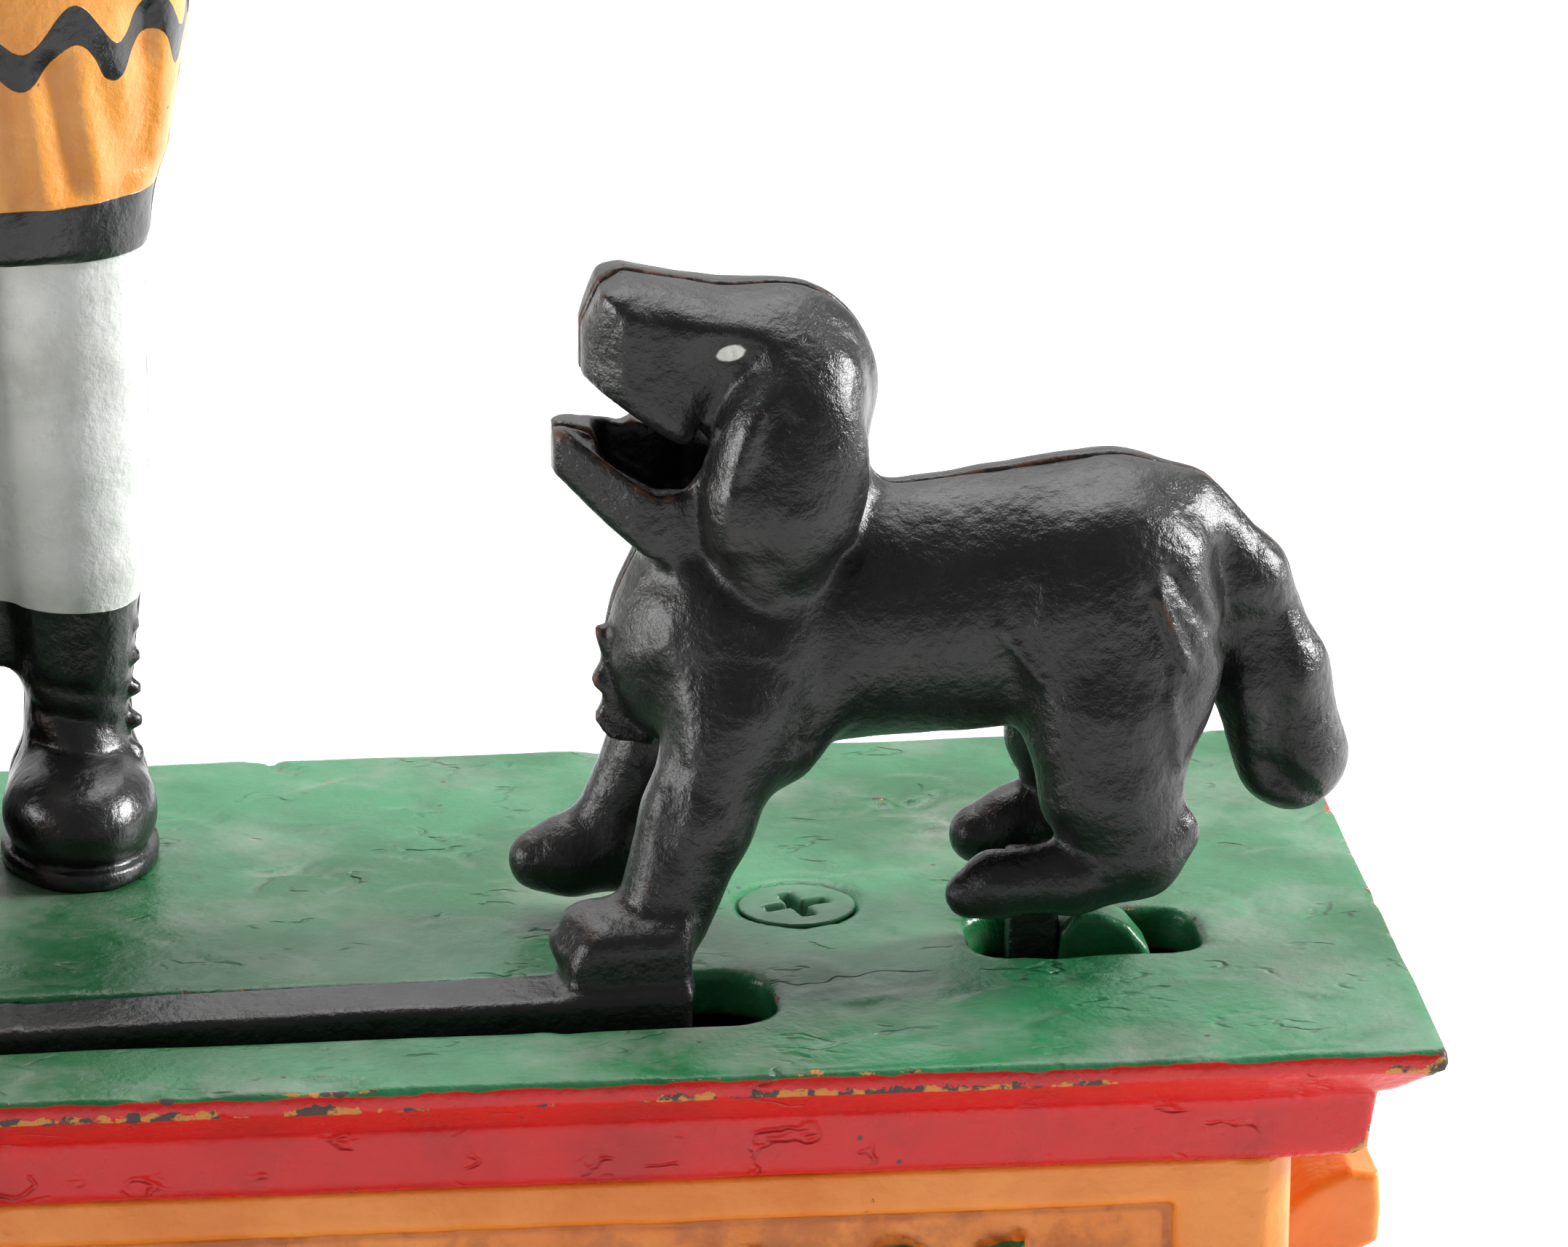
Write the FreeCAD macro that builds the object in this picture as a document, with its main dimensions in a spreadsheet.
"""Cast-iron mechanical bank: a dog on a sprung arm leaps through a clown's hoop to a barrel.

The frame: millimetres, +Z up, +X towards the dog's end, the clown faces -Y. The origin is the
centre of the flat underside. Heights named with "over" are measured up from the stage's top face.
"""

import math
import os
import re

import FreeCAD
import Part
import Sketcher

from FreeCAD import Placement, Rotation, Vector

DIMENSIONS = [
    # alias, value, what it is
    ("stage_length", 222.0, "stage plate, along X"),
    ("stage_depth", 76.0, "stage plate, along Y"),
    ("stage_top", 50.0, "height of the stage's top face"),
    ("stage_skin", 4.0, "thickness of the stage's plate"),
    ("fascia_height", 2.1, "upright edge of the stage"),
    ("slope_height", 3.8, "sloping member under the fascia"),
    ("slope_inset", 4.7, "how far that member runs in"),
    ("rim_height", 10.8, "whole moulding, top face to lower edge"),
    ("rim_inset", 5.6, "how far in the moulding's lower edge is"),
    ("body_length", 196.0, "outside of the panels' tongues, along X"),
    ("body_depth", 60.6, "outside of the panels' tongues, along Y"),
    ("wall", 2.6, "thickness of the panels"),
    ("proud", 1.3, "how far the panels' borders stand out"),
    ("border", 3.8, "width of the borders"),
    ("column_radius", 3.55, "round corner columns"),
    ("seat_gap", 0.1, "play between a panel and the castings that hold it"),
    ("plinth_length", 213.0, "bottom casting, along X"),
    ("plinth_depth", 72.0, "bottom casting, along Y"),
    ("plinth_edge", 3.2, "upright edge of the plinth"),
    ("plinth_height", 8.0, "whole plinth"),
    ("plinth_skin", 4.0, "thickness of the bottom plate"),
    ("slot_left", -29.0, "arm slot"),
    ("slot_right", 61.0, "arm slot"),
    ("slot_front", -27.0, "arm slot"),
    ("slot_back", -15.8, "arm slot"),
    ("slot_corner", 4.0, "arm slot's corner radius"),
    ("catch_left", 77.6, "catch slot"),
    ("catch_right", 95.6, "catch slot"),
    ("catch_front", -14.5, "catch slot"),
    ("catch_back", -4.7, "catch slot"),
    ("catch_corner", 3.0, "catch slot's corner radius"),
    ("tie_reach", 65.0, "tie screws, from the middle along X"),
    ("tie_line", -1.0, "tie screws' Y"),
    ("tie_head", 4.9, "tie screw's head radius"),
    ("tie_head_depth", 2.7, "tie screw's countersunk head"),
    ("tie_shank", 2.4, "tie screw's shank radius"),
    ("tie_end", 9.0, "height of the tie screws' lower ends"),
    ("tie_boss", 5.0, "radius of the bottom casting's bosses"),
    ("boss_top", 17.0, "height of those bosses"),
    ("thread_play", 0.05, "gap between a screw and its hole"),
    ("pivot_across", -15.0, "arm pivot's X"),
    ("pivot_drop", 10.0, "arm pivot, below the stage's top"),
    ("axle_radius", 2.2, "arm axle"),
    ("axle_play", 0.05, "radial running clearance"),
    ("hub_radius", 6.0, "arm's hub"),
    ("arm_front", -24.9, "arm's front face"),
    ("arm_back", -18.5, "arm's back face"),
    ("lug_radius", 4.4, "axle lugs"),
    ("front_lug_front", -27.6, "front axle lug"),
    ("front_lug_back", -25.3, "front axle lug"),
    ("rear_lug_front", -8.6, "rear axle lug"),
    ("rear_lug_back", -6.0, "rear axle lug"),
    ("spring_radius", 4.5, "drive spring's mean coil radius"),
    ("spring_wire", 0.75, "drive spring's wire radius"),
    ("dog_plane", -10.0, "parting plane of the dog's halves"),
    ("lever_across", 92.0, "release lever's pivot X"),
    ("lever_height", 22.0, "release lever's pivot Z"),
    ("lever_pin_radius", 1.6, "release lever's pin"),
    ("lever_hub", 4.0, "release lever's hub radius"),
    ("claw_thickness", 4.0, "release lever's claw, along Y"),
    ("pad_width", 9.0, "thumb pad, along Y"),
    ("clown_across", 1.75, "clown's middle X"),
    ("clown_plane", 19.5, "parting plane of the clown's halves"),
    ("hoop_across", -45.0, "hoop's plane"),
    ("hoop_line", -9.0, "hoop's centre Y"),
    ("hoop_over", 76.0, "hoop's centre over the stage"),
    ("hoop_radius", 40.0, "hoop's mean radius"),
    ("hoop_wire", 1.5, "hoop's bar radius"),
    ("barrel_across", -88.0, "barrel's axis X"),
    ("barrel_height", 34.0, "barrel"),
    ("barrel_end", 17.0, "barrel's radius at its ends"),
    ("barrel_belly", 19.8, "barrel's radius at its middle"),
    ("barrel_wall", 2.5, "barrel's wall"),
    ("band_proud", 0.6, "barrel bands"),
    ("drop_radius", 12.4, "coin hole in the stage"),
    ("trap_across", 26.0, "coin trap's axis X"),
    ("trap_hole", 14.0, "radius of the hole that the trap closes"),
    ("trap_flange", 17.0, "radius of the trap plug's flange"),
    ("trap_flange_depth", 1.6, "thickness of that flange"),
]
ALIASES = {alias for alias, _, _ in DIMENSIONS}

doc = FreeCAD.newDocument("mechanical_bank")
sheet = doc.addObject("Spreadsheet::Sheet", "dims")
for row, (alias, value, meaning) in enumerate(DIMENSIONS, start=1):
    sheet.set(f"A{row}", alias)
    sheet.set(f"B{row}", str(value))
    sheet.set(f"C{row}", meaning)
    sheet.setAlias(f"B{row}", alias)
doc.recompute()

parts = []  # the sub-parts, in the order they are made


def dim(alias):
    """A cell's value, for shapes that are set in code."""
    return float(sheet.get(alias))


def bound(text):
    """An expression in which each alias is a cell of the sheet."""
    return re.sub(
        r"[a-z_]+", lambda m: f"dims.{m[0]}" if m[0] in ALIASES else m[0], str(text)
    )


def bind(obj, **properties):
    for name, text in properties.items():
        obj.setExpression(name, bound(text))


def place(obj, at, turn=None):
    if turn:
        obj.Placement = Placement(Vector(), turn)
    for axis, text in zip("xyz", at, strict=True):
        obj.setExpression(f"Placement.Base.{axis}", bound(text))
    return obj


def keep(obj, label):
    """Names obj as one of the bank's sub-parts."""
    obj.Label = label
    parts.append(obj)
    return obj


ALONG = {
    "Z": Rotation(),
    "Y": Rotation(Vector(1, 0, 0), -90),
    "X": Rotation(Vector(0, 1, 0), 90),
}


def box(name, size, corner):
    made = doc.addObject("Part::Box", name)
    bind(made, Length=size[0], Width=size[1], Height=size[2])
    return place(made, corner)


def cylinder(name, radius, height, start, along="Z"):
    made = doc.addObject("Part::Cylinder", name)
    bind(made, Radius=radius, Height=height)
    return place(made, start, ALONG[along])


def cone(name, radius, far_radius, height, start, along="Z"):
    made = doc.addObject("Part::Cone", name)
    bind(made, Radius1=radius, Radius2=far_radius, Height=height)
    return place(made, start, ALONG[along])


def frustum(name, length, depth, far_length, far_depth, height, level):
    """A rectangle at level that becomes another one height above it, both about the Z axis."""
    made = doc.addObject("Part::Wedge", name)
    bind(
        made,
        Xmin=f"-({length})/2",
        Xmax=f"({length})/2",
        Zmin=f"-({depth})/2",
        Zmax=f"({depth})/2",
        X2min=f"-({far_length})/2",
        X2max=f"({far_length})/2",
        Z2min=f"-({far_depth})/2",
        Z2max=f"({far_depth})/2",
        Ymin="0",
        Ymax=height,
    )
    return place(made, ("0", "0", level), Rotation(Vector(1, 0, 0), 90))


def rounded_box(name, size, corner, radius):
    """A box whose four upright edges are rounded."""
    plain = box(name + "_plain", size, corner)
    doc.recompute()
    made = doc.addObject("Part::Fillet", name)
    made.Base = plain
    upright = [
        i
        for i, edge in enumerate(plain.Shape.Edges, start=1)
        if abs(edge.Vertexes[0].X - edge.Vertexes[1].X) < 1e-6
        and abs(edge.Vertexes[0].Y - edge.Vertexes[1].Y) < 1e-6
    ]
    made.Edges = [(i, dim(radius), dim(radius)) for i in upright]
    return made


def fuse(name, *pieces):
    made = doc.addObject("Part::MultiFuse", name)
    made.Shapes = list(pieces)
    made.Refine = True
    return made


def cut(name, base, *tools):
    made = doc.addObject("Part::Cut", name)
    made.Base = base
    made.Tool = tools[0] if len(tools) == 1 else fuse(name + "_tools", *tools)
    return made


def group(name, *pieces):
    """Separate solids that share one node."""
    made = doc.addObject("Part::Compound", name)
    made.Links = list(pieces)
    return made


def feature(name, shape):
    made = doc.addObject("Part::Feature", name)
    made.Shape = shape
    return made


# ---- PartDesign helpers -------------------------------------------------------------------


def body(name):
    return doc.addObject("PartDesign::Body", name)


def outline(owner, role, points, name):
    """A closed polygon sketch on one of the body's own planes, each corner bound to the sheet."""
    sketch = owner.newObject("Sketcher::SketchObject", name)
    plane = [f for f in owner.Origin.OriginFeatures if f.Role == role][0]
    sketch.AttachmentSupport = (plane, [""])
    sketch.MapMode = "FlatFace"
    count = len(points)
    circle = [
        Vector(math.cos(2 * math.pi * i / count), math.sin(2 * math.pi * i / count), 0)
        for i in range(count)
    ]
    for i in range(count):
        sketch.addGeometry(Part.LineSegment(circle[i], circle[(i + 1) % count]), False)
    for i in range(count):
        sketch.addConstraint(Sketcher.Constraint("Coincident", i, 2, (i + 1) % count, 1))
    for i, corner in enumerate(points):
        for kind, text in zip(("DistanceX", "DistanceY"), corner, strict=True):
            index = sketch.addConstraint(Sketcher.Constraint(kind, -1, 1, i, 1, 1.0))
            sketch.setExpression(f"Constraints[{index}]", bound(text))
    return sketch


def disc(owner, role, centre, radius, name):
    """A circle sketch on one of the body's own planes."""
    sketch = owner.newObject("Sketcher::SketchObject", name)
    plane = [f for f in owner.Origin.OriginFeatures if f.Role == role][0]
    sketch.AttachmentSupport = (plane, [""])
    sketch.MapMode = "FlatFace"
    sketch.addGeometry(Part.Circle(Vector(1, 1, 0), Vector(0, 0, 1), 2.0), False)
    for kind, text in (
        ("DistanceX", centre[0]),
        ("DistanceY", centre[1]),
    ):
        index = sketch.addConstraint(Sketcher.Constraint(kind, -1, 1, 0, 3, 1.0))
        sketch.setExpression(f"Constraints[{index}]", bound(text))
    index = sketch.addConstraint(Sketcher.Constraint("Radius", 0, 2.0))
    sketch.setExpression(f"Constraints[{index}]", bound(radius))
    return sketch


def pad(owner, sketch, length, name, midplane=False, reversed_way=False):
    made = owner.newObject("PartDesign::Pad", name)
    made.Profile = sketch
    bind(made, Length=length)
    if midplane:
        made.SideType = "Symmetric"
    made.Reversed = reversed_way
    return made


# ---- Free-form castings -------------------------------------------------------------------


def ring(centre, across, upright, a, b):
    """A smooth closed section: an ellipse of half widths a and b."""
    turns = [math.radians(30 * i) for i in range(12)]
    points = [centre + across * (a * math.cos(t)) + upright * (b * math.sin(t)) for t in turns]
    curve = Part.BSplineCurve()
    curve.interpolate(Points=points, PeriodicFlag=True)
    return Part.Wire([curve.toShape()])


ROUND_END = ((0.80, 0.42), (0.42, 0.84))  # how far past the end, and how wide it still is


def limb(stations, side=Vector(0, 1, 0)):
    """A solid through sections (x, y, z, a, b): a is half the width across the path and square
    to side, b half the width along side. Both ends are rounded."""
    centres = [Vector(*s[:3]) for s in stations]
    last = len(stations) - 1
    sections = []
    for i, station in enumerate(stations):
        along = (centres[min(i + 1, last)] - centres[max(i - 1, 0)]).normalize()
        across = side.cross(along).normalize()
        upright = along.cross(across).normalize()
        a, b = station[3:]
        rounds = [(0.0, 1.0)]
        if i == 0:
            rounds = [(-past, width) for past, width in ROUND_END] + rounds
        if i == last:
            rounds = rounds + [(past, width) for past, width in reversed(ROUND_END)]
        for past, width in rounds:
            centre = centres[i] + along * (past * min(a, b))
            sections.append(ring(centre, across, upright, a * width, b * width))
    return Part.makeLoft(sections, True, False)


def egg(x, y, z, rx, ry, rz):
    """An ellipsoid."""
    scale = FreeCAD.Matrix()
    scale.scale(rx, ry, rz)
    made = Part.makeSphere(1.0).transformGeometry(scale)
    made.translate(Vector(x, y, z))
    return made


def block(low, high):
    low, high = Vector(*low), Vector(*high)
    size = high - low
    return Part.makeBox(size.x, size.y, size.z, low)


def prism(points, front, back):
    """A polygon of (x, z) corners, from y = front to y = back."""
    corners = [Vector(x, front, z) for x, z in points]
    face = Part.Face(Part.makePolygon(corners + corners[:1]))
    return face.extrude(Vector(0, back - front, 0))


def rod(radius, start, end):
    start, end = Vector(*start), Vector(*end)
    return Part.makeCylinder(radius, (end - start).Length, start, end - start)


# ---- The base -----------------------------------------------------------------------------

RIM_BOTTOM = "stage_top - rim_height"
SKIN_UNDER = "stage_top - stage_skin"
PIVOT_UP = "stage_top - pivot_drop"


def stage_plate():
    """The top casting: plate, moulded rim, both slots and the lugs that carry the arm's axle."""
    slope_top = "stage_top - fascia_height"
    slope_bottom = "stage_top - fascia_height - slope_height"
    fascia = box(
        "fascia",
        ("stage_length", "stage_depth", "fascia_height"),
        ("-stage_length / 2", "-stage_depth / 2", slope_top),
    )
    slope = frustum(
        "slope",
        "stage_length - 2 * slope_inset",
        "stage_depth - 2 * slope_inset",
        "stage_length",
        "stage_depth",
        "slope_height",
        slope_bottom,
    )
    rim = frustum(
        "rim",
        "stage_length - 2 * rim_inset",
        "stage_depth - 2 * rim_inset",
        "stage_length - 2 * slope_inset",
        "stage_depth - 2 * slope_inset",
        "rim_height - fascia_height - slope_height",
        RIM_BOTTOM,
    )
    hollow = box(
        "stage_hollow",
        ("body_length + 2 * seat_gap", "body_depth + 2 * seat_gap", "rim_height - stage_skin"),
        ("-body_length / 2 - seat_gap", "-body_depth / 2 - seat_gap", RIM_BOTTOM),
    )
    shell = cut("stage_shell", fuse("stage_stack", fascia, slope, rim), hollow)
    lugs = []
    for name in ("front_lug", "rear_lug"):
        thick = f"{name}_back - {name}_front"
        lugs.append(
            box(
                name + "_web",
                ("2 * lug_radius", thick, "pivot_drop - stage_skin"),
                ("pivot_across - lug_radius", f"{name}_front", PIVOT_UP),
            )
        )
        eye_start = ("pivot_across", f"{name}_front", PIVOT_UP)
        lugs.append(cylinder(name + "_eye", "lug_radius", thick, eye_start, "Y"))
    holes = [
        rounded_box(
            "arm_slot",
            ("slot_right - slot_left", "slot_back - slot_front", "stage_skin"),
            ("slot_left", "slot_front", SKIN_UNDER),
            "slot_corner",
        ),
        rounded_box(
            "catch_slot",
            ("catch_right - catch_left", "catch_back - catch_front", "stage_skin"),
            ("catch_left", "catch_front", SKIN_UNDER),
            "catch_corner",
        ),
        cylinder(
            "axle_bore",
            "axle_radius + axle_play",
            "rear_lug_back - front_lug_front",
            ("pivot_across", "front_lug_front", PIVOT_UP),
            "Y",
        ),
        cylinder("coin_drop", "drop_radius", "stage_skin", ("barrel_across", "dog_plane", SKIN_UNDER)),
    ]
    for side in ("-", "+"):
        number = 1 if side == "-" else 2
        across = f"0 {side} tie_reach"
        under = (across, "tie_line", SKIN_UNDER)
        holes.append(cylinder(f"tie_hole{number}", "tie_shank + 0.2", "stage_skin", under))
        holes.append(
            cone(
                f"tie_sink{number}",
                "tie_shank + 0.2",
                "tie_head + 0.4",
                "tie_head_depth + 0.1",
                (across, "tie_line", "stage_top - tie_head_depth - 0.1"),
            )
        )
        holes.append(
            cylinder(
                f"foot_hole{number}",
                "1.9",
                "stage_skin",
                (f"clown_across {side} {BOOT_REACH}", "clown_plane", SKIN_UNDER),
            )
        )
        holes.append(
            cylinder(
                f"barrel_hole{number}",
                "1.3",
                "stage_skin",
                ("barrel_across", f"dog_plane {side} {BARREL_SCREW_REACH}", SKIN_UNDER),
            )
        )
    keep(cut("stage_plate", fuse("stage_cast", shell, *lugs), *holes), "stage_plate")


BOOT_REACH = 7.3  # from the clown's middle to each boot's screw
BARREL_SCREW_REACH = 14.6  # from the barrel's axis to each of its screws


def bottom_plate():
    """The bottom casting: a flat plate in a moulded plinth, with bosses for the tie screws."""
    low = box(
        "plinth_low",
        ("plinth_length", "plinth_depth", "plinth_edge"),
        ("-plinth_length / 2", "-plinth_depth / 2", "0"),
    )
    high = frustum(
        "plinth_high",
        "plinth_length",
        "plinth_depth",
        "body_length + 2 * proud + 5",
        "body_depth + 2 * proud + 2.2",
        "plinth_height - plinth_edge",
        "plinth_edge",
    )
    hollow = box(
        "plinth_hollow",
        ("body_length + 2 * seat_gap", "body_depth + 2 * seat_gap", "plinth_height - plinth_skin"),
        ("-body_length / 2 - seat_gap", "-body_depth / 2 - seat_gap", "plinth_skin"),
    )
    shell = cut("plinth_shell", fuse("plinth_stack", low, high), hollow)
    bosses, holes = [], []
    for number, side in enumerate(("-", "+"), start=1):
        centre = (f"0 {side} tie_reach", "tie_line")
        foot = (*centre, "plinth_skin")
        bosses.append(cylinder(f"tie_boss{number}", "tie_boss", "boss_top - plinth_skin", foot))
        bore = ("tie_shank + thread_play", "boss_top - tie_end + 1", (*centre, "tie_end - 1"))
        holes.append(cylinder(f"tie_thread{number}", *bore))
    holes.append(cylinder("trap_bore", "trap_hole", "plinth_skin", ("trap_across", "0", "0")))
    holes.append(
        cylinder("trap_seat", "trap_flange + 0.3", "trap_flange_depth + 0.4", ("trap_across", "0", "0"))
    )
    for number, side in enumerate(("-", "+"), start=1):
        holes.append(
            box(
                f"bayonet_notch{number}",
                ("trap_hole + 2.4", "6", "plinth_skin"),
                ("trap_across" if side == "+" else "trap_across - trap_hole - 2.4", "-3", "0"),
            )
        )
    keep(cut("bottom_plate", fuse("bottom_cast", shell, *bosses), *holes), "bottom_plate")


def long_panel(label, front):
    """The front or back panel: a plain wall with a raised border and a round column at each corner."""
    outer = "-body_depth / 2" if front else "body_depth / 2 - wall"
    wall = box(
        label + "_wall",
        ("body_length", "wall", "stage_top - stage_skin - plinth_skin"),
        ("-body_length / 2", outer, "plinth_skin"),
    )
    face = "-body_depth / 2 - proud" if front else "body_depth / 2"
    tall = "stage_top - rim_height - plinth_height"
    slab_corner = ("-body_length / 2", face, "plinth_height")
    frame = cut(
        label + "_frame",
        box(label + "_slab", ("body_length", "proud", tall), slab_corner),
        box(
            label + "_field",
            ("body_length - 4 * column_radius", "proud", f"{tall} - 2 * border"),
            ("-body_length / 2 + 2 * column_radius", face, "plinth_height + border"),
        ),
    )
    line = "-body_depth / 2 + 1.8" if front else "body_depth / 2 - 1.8"
    columns = [
        cylinder(
            f"{label}_column{number}",
            "column_radius",
            tall,
            (f"0 {side} (body_length / 2 - 1.25)", line, "plinth_height"),
        )
        for number, side in enumerate(("-", "+"), start=1)
    ]
    room = box(
        label + "_room",
        ("body_length + 20", "body_depth - 2 * wall", "stage_top"),
        ("-body_length / 2 - 10", "-body_depth / 2 + wall", "0"),
    )
    keep(cut(label, fuse(label + "_cast", wall, frame, *columns), room), label)


def end_panel(label, right):
    """An end panel between the front and back ones. The right one has the lever's slot and ears."""
    inner_depth = "body_depth - 2 * wall - 0.2"
    front = "-body_depth / 2 + wall + 0.1"
    start = "body_length / 2 - wall" if right else "-body_length / 2"
    wall_size = ("wall", inner_depth, "stage_top - stage_skin - plinth_skin")
    wall = box(label + "_wall", wall_size, (start, front, "plinth_skin"))
    face = "body_length / 2" if right else "-body_length / 2 - proud"
    tall = "stage_top - rim_height - plinth_height"
    frame = cut(
        label + "_frame",
        box(label + "_slab", ("proud", inner_depth, tall), (face, front, "plinth_height")),
        box(
            label + "_field",
            ("proud", f"{inner_depth} - 2 * border", f"{tall} - 2 * border"),
            (face, f"{front} + border", "plinth_height + border"),
        ),
    )
    if not right:
        return keep(fuse(label, wall, frame), label)
    ears = []
    for number, ear_front in enumerate(("dog_plane - 7.2", "dog_plane + 5.2"), start=1):
        ears.append(
            box(
                f"ear_web{number}",
                ("body_length / 2 - wall - lever_across", "2.2", "2 * lever_hub"),
                ("lever_across", ear_front, "lever_height - lever_hub"),
            )
        )
        eye_start = ("lever_across", ear_front, "lever_height")
        ears.append(cylinder(f"ear_eye{number}", "lever_hub", "2.2", eye_start, "Y"))
    bore_start = ("lever_across", "dog_plane - 10", "lever_height")
    bore = cylinder("lever_bore", "lever_pin_radius + axle_play", "20", bore_start, "Y")
    slot = box(
        "lever_slot",
        ("wall + proud", "pad_width + 1.4", "13.5"),
        ("body_length / 2 - wall", "dog_plane - pad_width / 2 - 0.7", "lever_height - 6.5"),
    )
    return keep(cut(label, fuse(label + "_cast", wall, frame, *ears), bore, slot), label)


def tie_screws():
    """Two long countersunk cross-head screws that clamp the stage, panels and bottom plate."""
    screws = []
    for number, side in enumerate(("-", "+"), start=1):
        centre = (f"0 {side} tie_reach", "tie_line")
        head = cone(
            f"screw_head{number}",
            "tie_shank",
            "tie_head",
            "tie_head_depth",
            (*centre, "stage_top - tie_head_depth - 0.15"),
        )
        shank_length = "stage_top - tie_head_depth - 0.15 - tie_end"
        shank = cylinder(f"screw_shank{number}", "tie_shank", shank_length, (*centre, "tie_end"))
        recess = [
            box(
                f"screw_recess{number}{way}",
                ("5.4", "1.1", "1.8") if way == "x" else ("1.1", "5.4", "1.8"),
                (
                    f"{centre[0]} - {2.7 if way == 'x' else 0.55}",
                    f"tie_line - {0.55 if way == 'x' else 2.7}",
                    "stage_top - 1.9",
                ),
            )
            for way in "xy"
        ]
        screws.append(cut(f"screw{number}", fuse(f"screw_blank{number}", head, shank), *recess))
    keep(group("tie_screws", *screws), "tie_screws")


def coin_trap():
    """The plug that closes the bottom: flange, spigot, two bayonet ears and a finger bar."""
    owner = body("trap_plug_turned")
    pad(
        owner,
        disc(owner, "XY_Plane", ("trap_across", "0"), "trap_flange", "flange_circle"),
        "trap_flange_depth",
        "flange",
    )
    doc.recompute()
    spigot = pad(
        owner,
        disc(owner, "XY_Plane", ("trap_across", "0"), "trap_hole - 0.3", "spigot_circle"),
        "plinth_skin + 1.8",
        "spigot",
    )
    doc.recompute()
    owner.Tip = spigot
    place(owner, ("0", "0", "0.3"))
    ears = fuse(
        "bayonet_ears",
        *[
            box(
                f"bayonet_ear{number}",
                ("4.5", "trap_hole + 2.1", "1.5"),
                (
                    "trap_across - 2.25",
                    "-trap_hole - 2.1" if number == 1 else "0",
                    "plinth_skin + 0.5",
                ),
            )
            for number in (1, 2)
        ],
    )
    dish = cylinder("finger_dish", "10.5", "3.6", ("trap_across", "0", "0"))
    bar = box("finger_bar", ("2.4", "21.4", "3.8"), ("trap_across - 1.2", "-10.7", "0.3"))
    turned = cut("plug_dished", fuse("plug_eared", owner, ears), dish)
    keep(fuse("coin_trap_plug_whole", turned, bar), "coin_trap_plug")


# ---- The leap mechanism -------------------------------------------------------------------


def arm_axle():
    pin = cylinder(
        "axle_rod",
        "axle_radius",
        "rear_lug_back - front_lug_front",
        ("pivot_across", "front_lug_front", PIVOT_UP),
        "Y",
    )
    head_start = ("pivot_across", "rear_lug_back", PIVOT_UP)
    head = cylinder("axle_head", "axle_radius + 1.4", "1.6", head_start, "Y")
    keep(fuse("arm_axle", pin, head), "arm_axle")


def coil(radius, wire, turns, start, first_leg, last_leg):
    """A closed-wound torsion spring along +Y from start, with a straight leg at each end. Each
    leg is (length, turn about Y in degrees of its tangent from +X)."""
    pitch = 2 * wire + 0.3
    path = Part.makeHelix(pitch, pitch * turns, radius)
    path.rotate(Vector(), Vector(1, 0, 0), -90)
    path.translate(Vector(*start))
    edges = path.Edges
    begin = edges[0].valueAt(edges[0].FirstParameter)
    way = edges[0].tangentAt(edges[0].FirstParameter)
    section = Part.Wire([Part.Circle(begin, way, wire).toShape()])
    turns_solid = Part.Wire(edges).makePipeShell([section], True, True)
    solids = [turns_solid]
    end = edges[-1].valueAt(edges[-1].LastParameter)
    onward = edges[-1].tangentAt(edges[-1].LastParameter)
    legs = (
        (begin, Vector(-way.x, 0, -way.z), first_leg),
        (end, Vector(onward.x, 0, onward.z), last_leg),
    )
    for point, direction, length in legs:
        solids.append(Part.makeCylinder(wire, length, point, direction))
        solids.append(Part.makeSphere(wire, point))
    made = solids[0].fuse(solids[1:])
    return made.removeSplitter()


def drive_spring():
    pivot_up = dim("stage_top") - dim("pivot_drop")
    start = (dim("pivot_across"), dim("arm_back") + 1.2, pivot_up)
    made = coil(dim("spring_radius"), dim("spring_wire"), 4.0, start, 7.0, 7.0)
    keep(feature("drive_spring", made), "drive_spring")


def lever_spring():
    start = (dim("lever_across"), dim("dog_plane") + 2.6, dim("lever_height"))
    made = coil(2.5, 0.35, 2.0, start, 4.0, 4.0)
    keep(feature("lever_spring", made), "lever_spring")


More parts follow.
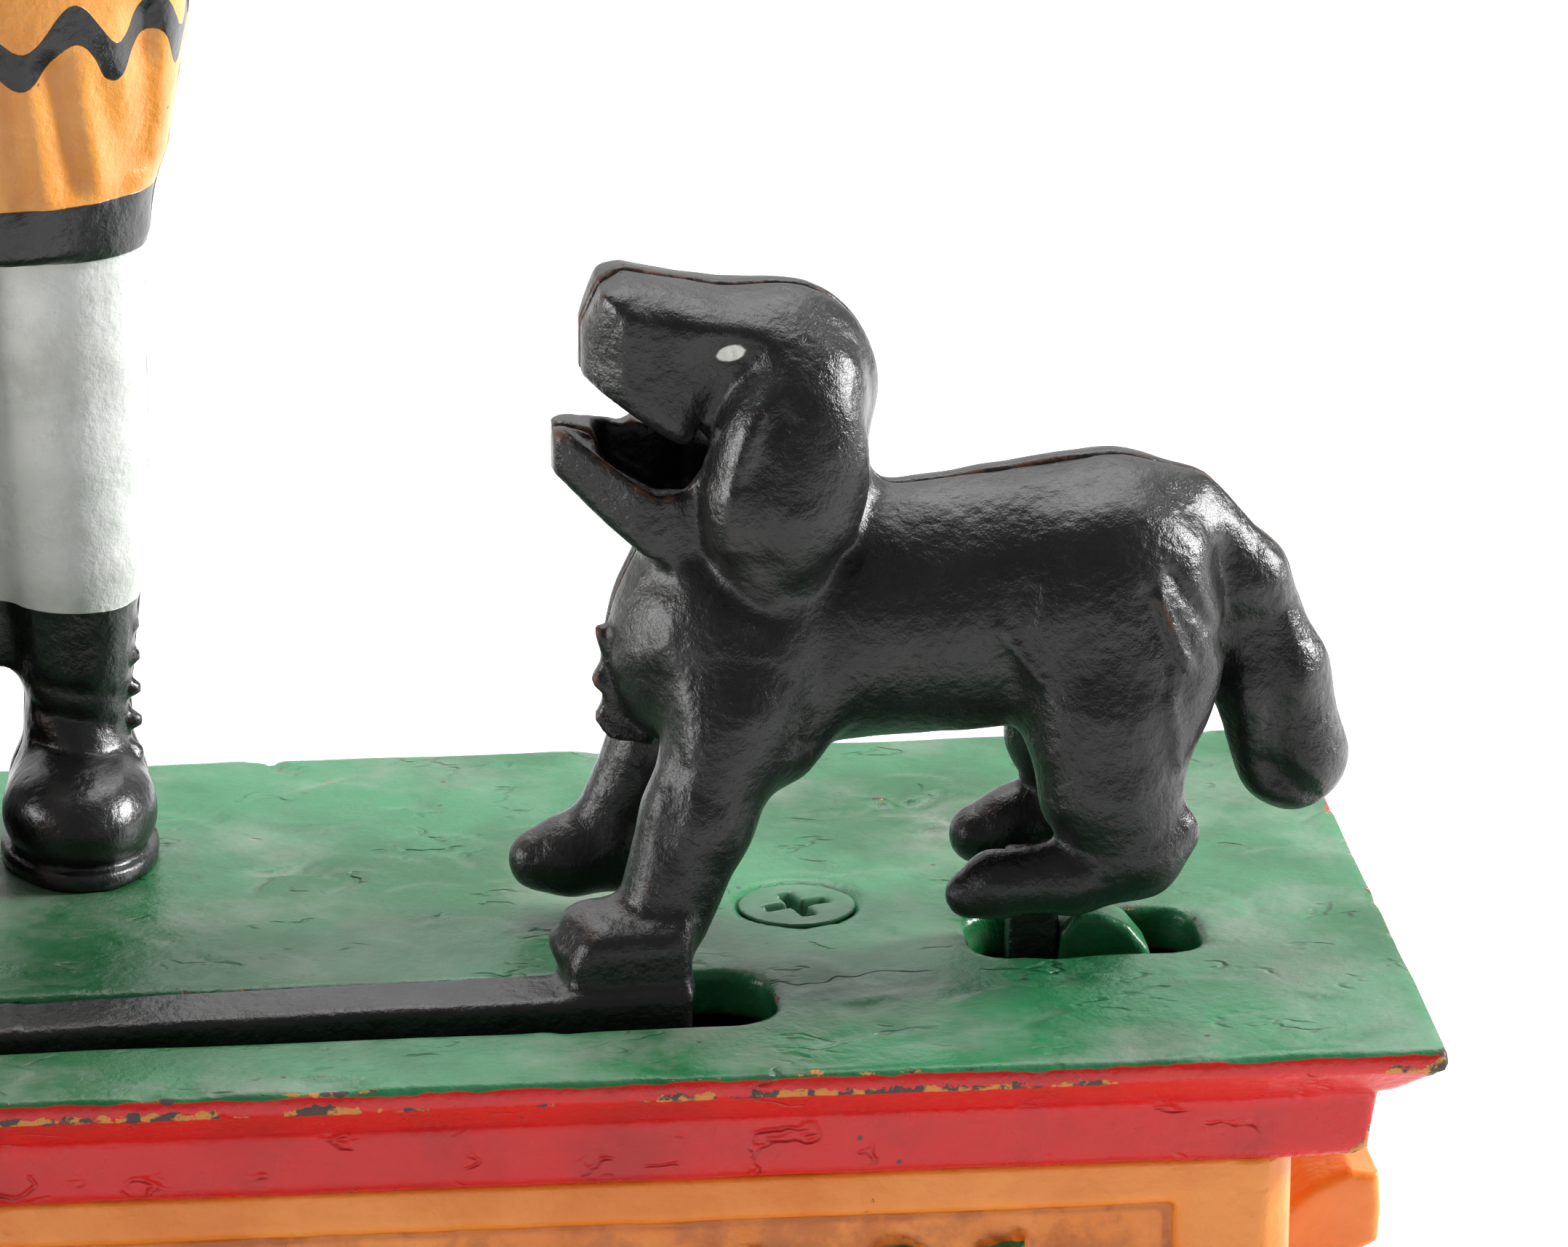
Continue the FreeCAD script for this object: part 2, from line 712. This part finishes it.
def release_lever():
    """The trigger: a claw that rises through the catch slot, a hub, and a thumb pad outside."""
    owner = body("release_claw")
    up, across = "stage_top", "lever_across"
    claw = [
        (f"{across} - 7.0", f"{up} - 4.5"),
        (f"{across} - 3.4", f"{up} - 4.5"),
        (f"{across} - 3.2", f"{up} - 14"),
        (f"{across} - 3.6", "lever_height"),
        (f"{across} + 3.0", "lever_height"),
        (f"{across} + 0.4", f"{up} - 14"),
        (f"{across} - 0.4", f"{up} - 6"),
        (f"{across} + 0.1", f"{up} - 3.2"),
        (f"{across} - 0.6", f"{up} - 0.8"),
        (f"{across} - 2.0", f"{up} + 1.0"),
        (f"{across} - 4.0", f"{up} + 2.1"),
        (f"{across} - 6.2", f"{up} + 2.3"),
        (f"{across} - 7.4", f"{up} + 0.8"),
    ]
    claw_sketch = outline(owner, "XZ_Plane", claw, "claw_outline")
    pad(owner, claw_sketch, "claw_thickness", "claw", midplane=True)
    place(owner, ("0", "dog_plane", "0"))
    thumb = body("release_thumb")
    shape = [
        (f"{across}", "lever_height + 3.2"),
        (f"{across} + 9", "lever_height + 4.4"),
        (f"{across} + 12.5", "lever_height + 7.6"),
        (f"{across} + 18", "lever_height + 8.6"),
        (f"{across} + 18", "lever_height + 2.4"),
        (f"{across} + 12.4", "lever_height - 0.2"),
        (f"{across} + 7", "lever_height - 3"),
        (f"{across}", "lever_height - 3.6"),
    ]
    thumb_sketch = outline(thumb, "XZ_Plane", shape, "thumb_outline")
    pad(thumb, thumb_sketch, "pad_width", "thumb_pad", midplane=True)
    place(thumb, ("0", "dog_plane", "0"))
    hub = cylinder(
        "lever_hub_rod", "lever_hub", "6.4", ("lever_across", "dog_plane - 4.4", "lever_height"), "Y"
    )
    bore_start = ("lever_across", "dog_plane - 10", "lever_height")
    bore = cylinder("lever_hub_bore", "lever_pin_radius + axle_play", "20", bore_start, "Y")
    clear = box(
        "spring_room", ("11", "6", "12"), ("lever_across - 5", "dog_plane + 2", "lever_height - 6")
    )
    keep(cut("release_lever", fuse("lever_cast", owner, thumb, hub), bore, clear), "release_lever")


def lever_pin():
    rod_part = cylinder(
        "lever_rod", "lever_pin_radius", "16.2", ("lever_across", "dog_plane - 8", "lever_height"), "Y"
    )
    keep(rod_part, "lever_pin")


# ---- The dog ------------------------------------------------------------------------------

# Stations are (X, Y from the dog's plane, height over the stage, half width across, half width
# along Y). Feet are ellipsoids: the centre and the three radii.
DOG_TORSO = [
    (56.5, 0, 25.5, 9.6, 8.4),
    (64, 0, 26.6, 10.4, 9.6),
    (73, 0, 27.3, 9.8, 9.4),
    (82, 0, 28.0, 10.4, 10.0),
    (90, 0, 28.6, 9.8, 9.6),
    (94.5, 0, 29.0, 7.0, 7.0),
]
DOG_NECK = [(58.5, 0, 27, 8.6, 8.2), (60.5, 0, 36, 8.4, 8.0), (62.5, 0, 44, 7.6, 7.6)]
DOG_MUZZLE = [(61, 0, 47.4, 6.6, 6.8), (54.5, 0, 50.2, 4.9, 5.6), (50.6, 0, 50.9, 4.4, 5.0)]
DOG_JAW = [(58, 0, 38.4, 3.6, 5.0), (52.5, 0, 40.2, 2.7, 4.2), (47.4, 0, 41.9, 2.1, 3.4)]
DOG_TAIL = [
    (94, 0, 33.5, 3.4, 3.6),
    (98.8, 0, 29, 3.9, 3.9),
    (101, 0, 22, 4.4, 4.4),
    (103, 0, 14.4, 4.3, 4.4),
]
DOG_LEGS = {
    -1: [
        [(58, -7.6, 24, 5.6, 4.0), (56.4, -8.4, 15, 4.6, 3.6), (53.8, -9, 8.5, 4.0, 3.4)],
        [(86, -6.4, 26, 7.4, 4.2), (86.4, -7.4, 15, 6.0, 3.8), (88, -8, 9.6, 4.4, 3.4)],
    ],
    1: [
        [(58, 7.6, 24, 5.4, 4.0), (54, 8.2, 15, 4.0, 3.4), (50.4, 8.2, 8, 3.2, 3.1)],
        [(86, 6.4, 26, 7.0, 4.2), (85.4, 7.4, 15, 5.0, 3.6), (86, 8, 8.4, 3.6, 3.2)],
    ],
}
DOG_FEET = {
    -1: [(50, -9, 7.2, 6.6, 3.5, 3.6), (83, -8, 7.6, 8.2, 3.6, 4.0)],
    1: [(47.8, 8.2, 5.8, 5.6, 3.3, 3.4), (83, 8, 6.2, 6.6, 3.4, 3.4)],
}
DOG_RIVETS = [(64, 27), (86, 28)]  # (X, height over the stage)
RIVET_RADIUS = 1.5


def lifted(stations, plane, top):
    return [(x, y + plane, z + top, a, b) for x, y, z, a, b in stations]


def dog_rods(radius):
    plane, top = dim("dog_plane"), dim("stage_top")
    return [rod(radius, (x, plane - 8.4, top + z), (x, plane + 8.4, top + z)) for x, z in DOG_RIVETS]


def one_side(shapes, side_block, extras, hollows):
    """What of the shapes lies in side_block, with the extras joined on and the hollows cut."""
    kept = [s.common(side_block) for s in shapes if s.BoundBox.intersect(side_block.BoundBox)]
    kept = [s.Solids[0] for s in kept if s.Volume > 1] + extras
    return kept[0].fuse(kept[1:]).cut(hollows)


def dog_castings():
    """The two halves of the dog, the near one with its arm and catch, and the rivets between."""
    plane, top = dim("dog_plane"), dim("stage_top")
    spine = (DOG_TORSO, DOG_NECK, DOG_MUZZLE, DOG_JAW, DOG_TAIL)
    shapes = [egg(62, plane, top + 46, 7.4, 7.8, 7.4)]
    shapes += [limb(lifted(stations, plane, top)) for stations in spine]
    for side in (-1, 1):
        shapes += [limb(lifted(stations, plane, top)) for stations in DOG_LEGS[side]]
        shapes += [egg(x, plane + y, top + z, *radii) for x, y, z, *radii in DOG_FEET[side]]
        shapes.append(egg(61.8, plane + side * 8.4, top + 41.4, 5.2, 2.6, 9.2))
    hollows = [egg(75, plane, top + 27.4, 15, 6.4, 6.6), *dog_rods(RIVET_RADIUS)]
    bore = rod(
        dim("axle_radius") + dim("axle_play"),
        (dim("pivot_across"), dim("arm_front") - 1, top - dim("pivot_drop")),
        (dim("pivot_across"), dim("arm_back") + 1, top - dim("pivot_drop")),
    )
    near_side = block((20, plane - 30, top - 20), (130, plane, top + 80))
    far_side = block((20, plane, top - 20), (130, plane + 30, top + 80))
    near = one_side(shapes, near_side, [arm(), catch_tongue()], [*hollows, bore])
    keep(feature("dog_near_half", near), "dog_near_half")
    keep(feature("dog_far_half", one_side(shapes, far_side, [], hollows)), "dog_far_half")
    keep(feature("dog_rivets", Part.makeCompound(dog_rods(RIVET_RADIUS))), "dog_rivets")


def arm():
    """The arm: a hub on the axle, a flat bar along the slot, and the upright under the paw."""
    top, across = dim("stage_top"), dim("pivot_across")
    front, back = dim("arm_front"), dim("arm_back")
    pivot_up = top - dim("pivot_drop")
    hub = rod(dim("hub_radius"), (across, front, pivot_up), (across, back, pivot_up))
    bar = prism(
        [
            (across + 1, top - 4.6),
            (across + 14, top + 0.4),
            (across + 18, top + 0.9),
            (47.5, top + 1.6),
            (50.5, top + 6.5),
            (54.7, top + 6.5),
            (54.7, top - 3.8),
            (across + 20, top - 4.8),
            (across + 3.4, top - 14.9),
        ],
        front,
        back,
    )
    return hub.fuse(bar)


def catch_tongue():
    """The tongue under the near hind foot that the release lever's claw holds down."""
    top, plane = dim("stage_top"), dim("dog_plane")
    bridge = block((80.5, plane - 7, top + 4.4), (84.5, plane + 1.8, top + 7))
    outer = [(80.5, top - 7), (80.5, top + 7), (84.5, top + 7)]
    hook = [(84.5, top - 4.9), (86.5, top - 4.9), (86.5, top - 7)]
    tongue = prism(outer + hook, plane - 1.8, plane + 1.8)
    return bridge.fuse(tongue)


# ---- The clown and the hoop ---------------------------------------------------------------

# Stations are (X from the clown's middle, Y from his plane, height over the stage, half width,
# half depth).
CLOWN_TRUNK = [
    (0, 0, 54, 14.2, 9.0),
    (0, 0, 60, 15.4, 10.4),
    (0, 0, 68, 17.0, 11.4),
    (0, 0, 75, 16.0, 11.2),
    (0, 0, 83, 10.6, 8.6),
    (0, 0, 91, 11.4, 8.6),
    (0, 0, 98, 11.6, 7.6),
    (0, 0, 103, 5.0, 4.8),
]
CLOWN_LEG = [
    (7.4, 0, 13, 4.4, 4.8),
    (7.5, 0, 21, 5.0, 5.6),
    (7.2, 0, 34, 6.3, 6.6),
    (7.0, 0, 52, 6.2, 6.8),
]
CLOWN_BOOT = [(7.3, 5.4, 4.9, 5.2, 4.7), (7.1, -1, 5.1, 5.6, 4.9), (6.6, -7.0, 3.9, 5.4, 3.8)]
CLOWN_HOOP_ARM = [(-9.6, 0, 99, 4.5, 4.8), (-19, 0, 93.5, 4.1, 4.3), (-28.5, 0, 90, 3.9, 3.9)]
CLOWN_HOOP_FOREARM = [(-28.5, 0, 90, 3.8, 3.9), (-38, 0, 97.4, 3.4, 3.4), (-45.4, 0, 102.6, 3.2, 3.7)]
CLOWN_HIP_ARM = [(9.6, 0, 99, 4.5, 4.8), (17, 0, 93.5, 4.1, 4.3), (23.4, 0, 88, 3.8, 3.9)]
CLOWN_HIP_FOREARM = [(23.4, 0, 88, 3.8, 3.9), (17.6, 0, 84.2, 3.3, 3.4), (11.8, 0, 82.0, 3.0, 3.6)]
CLOWN_ARMS = [CLOWN_HOOP_ARM, CLOWN_HOOP_FOREARM, CLOWN_HIP_ARM, CLOWN_HIP_FOREARM]
CLOWN_RIVETS = [61, 92]  # heights over the stage


def mirrored(stations):
    return [(-x, y, z, a, b) for x, y, z, a, b in stations]


def clown_castings():
    """The front and back halves of the clown, and the rivets that hold them together."""
    middle, plane, top = dim("clown_across"), dim("clown_plane"), dim("stage_top")

    def stand(stations):
        return [(x + middle, y + plane, z + top, a, b) for x, y, z, a, b in stations]

    upright = Vector(0, 0, 1)
    shapes = [limb(stand(CLOWN_TRUNK))]
    shapes += [limb(stand(stations)) for stations in (CLOWN_LEG, mirrored(CLOWN_LEG))]
    shapes += [limb(stand(stations), upright) for stations in (CLOWN_BOOT, mirrored(CLOWN_BOOT))]
    shapes += [limb(stand(stations)) for stations in CLOWN_ARMS]
    shapes.append(egg(middle, plane, top + 113, 7.4, 7.8, 8.8))
    shapes.append(egg(middle, plane, top + 104, 11.5, 10.0, 2.6))
    shapes.append(Part.makeCone(7.8, 1.2, 17, Vector(middle, plane, top + 118.5)))
    shapes.append(egg(middle, plane, top + 136.5, 2.6, 2.6, 2.6))
    hollows = [block((-80, -40, 0), (80, 80, top))]
    hollows.append(
        Part.makeTorus(
            dim("hoop_radius"),
            dim("hoop_wire") + 0.05,
            Vector(dim("hoop_across"), dim("hoop_line"), top + dim("hoop_over")),
            Vector(1, 0, 0),
        )
    )
    for z in CLOWN_RIVETS:
        hollows.append(rod(RIVET_RADIUS, (middle, plane - 5, top + z), (middle, plane + 8, top + z)))
        hollows.append(rod(3.0, (middle, plane + 8, top + z), (middle, plane + 20, top + z)))
    for way in (-1, 1):
        across = middle + way * BOOT_REACH
        hollows.append(rod(1.6 + dim("thread_play"), (across, plane, top), (across, plane, top + 9)))
    front_side = block((-80, plane - 40, top - 1), (80, plane, top + 160))
    back_side = block((-80, plane, top - 1), (80, plane + 40, top + 160))
    keep(feature("clown_front_half", one_side(shapes, front_side, [], hollows)), "clown_front_half")
    keep(feature("clown_back_half", one_side(shapes, back_side, [], hollows)), "clown_back_half")
    heads = []
    for z in CLOWN_RIVETS:
        shank = rod(RIVET_RADIUS, (middle, plane - 5, top + z), (middle, plane + 8, top + z))
        head = rod(2.6, (middle, plane + 8, top + z), (middle, plane + 9.2, top + z))
        heads.append(shank.fuse(head))
    keep(feature("clown_rivets", Part.makeCompound(heads)), "clown_rivets")


def hoop():
    made = doc.addObject("Part::Torus", "hoop")
    bind(made, Radius1="hoop_radius", Radius2="hoop_wire")
    place(made, ("hoop_across", "hoop_line", "stage_top + hoop_over"), ALONG["X"])
    keep(made, "hoop")


def clown_screws():
    """Screws from under the stage into the boots."""
    screws = []
    for number, side in enumerate(("-", "+"), start=1):
        centre = (f"clown_across {side} {BOOT_REACH}", "clown_plane")
        shank = cylinder(f"foot_shank{number}", "1.6", "stage_skin + 8", (*centre, SKIN_UNDER))
        head = cylinder(f"foot_head{number}", "3.2", "2", (*centre, f"{SKIN_UNDER} - 2"))
        screws.append(fuse(f"foot_screw{number}", shank, head))
    keep(group("clown_screws", *screws), "clown_screws")


# ---- The barrel ---------------------------------------------------------------------------

BANDS = ((1.6, 4.6), (9.4, 12.2), (21.8, 24.6), (29.4, 32.4))  # heights of the barrel's bands


def barrel():
    """The open barrel that catches the coin, with its bands and two screw bosses inside."""
    height = dim("barrel_height")
    end, belly, wall = dim("barrel_end"), dim("barrel_belly"), dim("barrel_wall")

    def bowed(level, inset):
        return Vector(end + (belly - end) * (1 - (2 * level / height - 1) ** 2) - inset, 0, level)

    outer = Part.Arc(bowed(0, 0), bowed(height / 2, 0), bowed(height, 0)).toShape()
    inner = Part.Arc(bowed(0, wall), bowed(height / 2, wall), bowed(height, wall)).toShape()
    foot = Part.LineSegment(bowed(0, wall), bowed(0, 0)).toShape()
    lip = Part.LineSegment(bowed(height, wall), bowed(height, 0)).toShape()
    shell = Part.Face(Part.Wire(Part.__sortEdges__([outer, lip, inner, foot]))).revolve(
        Vector(), Vector(0, 0, 1), 360
    )
    proud = dim("band_proud")
    bands = []
    for low, high in BANDS:
        corners = [bowed(low, 1.0), bowed(low, -proud), bowed(high, -proud), bowed(high, 1.0)]
        band = Part.Face(Part.makePolygon(corners + corners[:1]))
        bands.append(band.revolve(Vector(), Vector(0, 0, 1), 360))
    spots = [(0, -BARREL_SCREW_REACH), (0, BARREL_SCREW_REACH)]
    bosses = [rod(2.3, (*spot, 0), (*spot, 9)) for spot in spots]
    threads = [rod(1.2 + dim("thread_play"), (*spot, 0), (*spot, 7)) for spot in spots]
    made = feature("barrel", shell.fuse([*bands, *bosses]).cut(threads))
    keep(place(made, ("barrel_across", "dog_plane", "stage_top")), "barrel")


def barrel_screws():
    """Screws from under the stage into the barrel's bosses."""
    screws = []
    for number, side in enumerate(("-", "+"), start=1):
        centre = ("barrel_across", f"dog_plane {side} {BARREL_SCREW_REACH}")
        shank = cylinder(f"barrel_shank{number}", "1.2", "stage_skin + 6", (*centre, SKIN_UNDER))
        head = cylinder(f"barrel_head{number}", "2.3", "1.6", (*centre, f"{SKIN_UNDER} - 1.6"))
        screws.append(fuse(f"barrel_screw{number}", shank, head))
    keep(group("barrel_screws", *screws), "barrel_screws")


def build():
    stage_plate()
    bottom_plate()
    long_panel("front_panel", True)
    long_panel("back_panel", False)
    end_panel("left_end_panel", False)
    end_panel("right_end_panel", True)
    tie_screws()
    coin_trap()
    arm_axle()
    drive_spring()
    release_lever()
    lever_pin()
    lever_spring()
    dog_castings()
    clown_castings()
    hoop()
    clown_screws()
    barrel()
    barrel_screws()


def check():
    """Stops if any object failed or any sub-part's shape is unusable."""
    for obj in doc.Objects:
        if {"Invalid", "Error"} & set(obj.State):
            raise RuntimeError(f"{obj.Name} failed: {obj.State}")
    for obj in parts:
        if obj.Shape.isNull() or not obj.Shape.isValid() or not obj.Shape.Solids:
            raise RuntimeError(f"{obj.Label} has no valid solid")


build()
doc.recompute()
check()
os.makedirs("parts", exist_ok=True)
for obj in parts:
    obj.Shape.exportStep(os.path.join("parts", obj.Label + ".step"))
    print(f"{obj.Label}: {len(obj.Shape.Solids)} solids, {obj.Shape.Volume / 1000:.2f} cm3")
